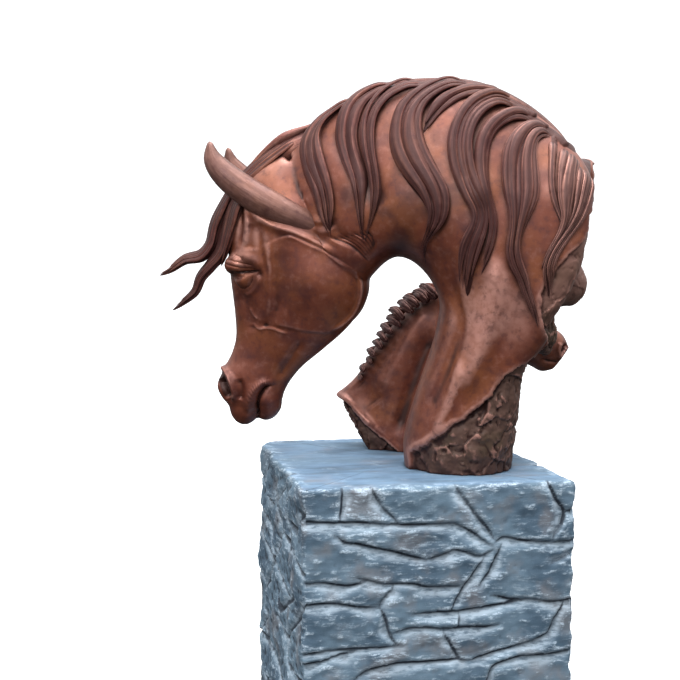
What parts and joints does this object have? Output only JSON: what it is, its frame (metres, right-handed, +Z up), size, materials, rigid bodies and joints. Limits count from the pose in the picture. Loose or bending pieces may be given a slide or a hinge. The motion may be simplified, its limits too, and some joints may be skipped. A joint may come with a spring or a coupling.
{
  "type": "horse head statue",
  "caption": "Cast bust of a mare bowing her head over her foal, with a long wavy mane, a torn neck and a rough core, standing on a square stone-faced block.",
  "frame": {"origin": "middle of the pedestal's underside", "axes": "+Z up, +X along the pedestal's front face towards the back of the mare's neck, +Y from the front face to the back"},
  "size_m": [1.092, 0.7126, 1.6827],
  "materials": {
    "bronze_patina": "satin reddish-brown patina, darker in the hollows and on the rough core, lighter and pinker on the hair",
    "painted_stone": "matt blue-grey slate paint, dry-brushed pale on the raised stones, dark in the joints"
  },
  "bodies": {
    "root": {"horse_cast": "bronze_patina", "stone_pedestal": "painted_stone"}
  },
  "joints": []
}
